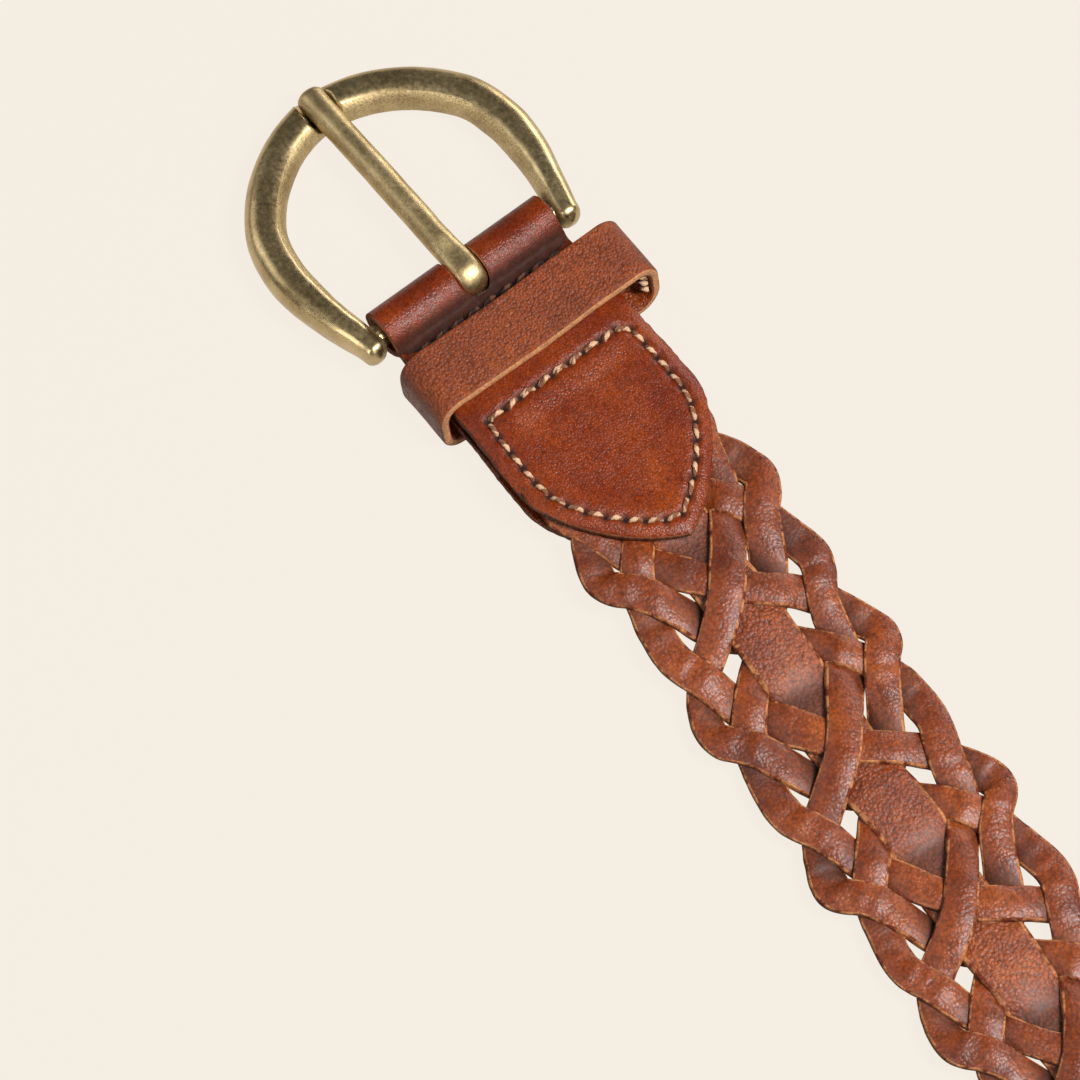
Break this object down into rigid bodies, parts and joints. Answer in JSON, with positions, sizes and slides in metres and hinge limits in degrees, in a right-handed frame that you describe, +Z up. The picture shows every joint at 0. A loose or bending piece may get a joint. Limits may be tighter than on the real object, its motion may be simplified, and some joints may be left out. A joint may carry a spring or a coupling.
{
  "type": "leather belt",
  "caption": "Braided brown leather belt with an antique brass ring buckle, stitched shield chape and keeper loop, its tail rolled up.",
  "frame": {"origin": "middle of the belt's box, on the surface it lies on", "axes": "+X from the buckle to the rolled tail, +Y across the belt, +Z up"},
  "size_m": [0.3314, 0.0588, 0.087],
  "materials": {
    "brass": "satin antique",
    "chape_leather": "glossy",
    "keeper_leather": "matt pebbled",
    "braid_leather": "satin",
    "thread": "matt twisted"
  },
  "bodies": {
    "root": {"chape": "chape_leather", "chape_core": "chape_leather", "crease_thread": "thread", "shield_thread_front": "thread", "shield_thread_back": "thread", "strand_1": "braid_leather", "strand_2": "braid_leather", "strand_3": "braid_leather", "strand_4": "braid_leather", "strand_5": "braid_leather", "strand_6": "braid_leather", "centre_strap": "braid_leather", "rolled_stretch": "braid_leather", "tip_back": "chape_leather", "tip_front": "chape_leather", "tip_thread": "thread"},
    "ring": {"buckle_ring": "brass", "buckle_bar": "brass"},
    "prong": {"prong": "brass"},
    "keeper": {"keeper_loop": "keeper_leather", "keeper_thread": "thread"}
  },
  "joints": [
    {"name": "buckle_swivel", "type": "hinge", "parent": "root", "child": "ring", "pos_m": [-0.12249, 0.00276, 0.0063], "axis": [0, 1, 0], "range_deg": [-60, 40]},
    {"name": "prong_hinge", "type": "hinge", "parent": "ring", "child": "prong", "pos_m": [-0.12249, 0.00276, 0.0063], "axis": [0, 1, 0], "range_deg": [0, 54]},
    {"name": "keeper_slide", "type": "slide", "parent": "root", "child": "keeper", "axis": [1, 0, 0], "range_m": [-0.0006, 0.0022]}
  ]
}
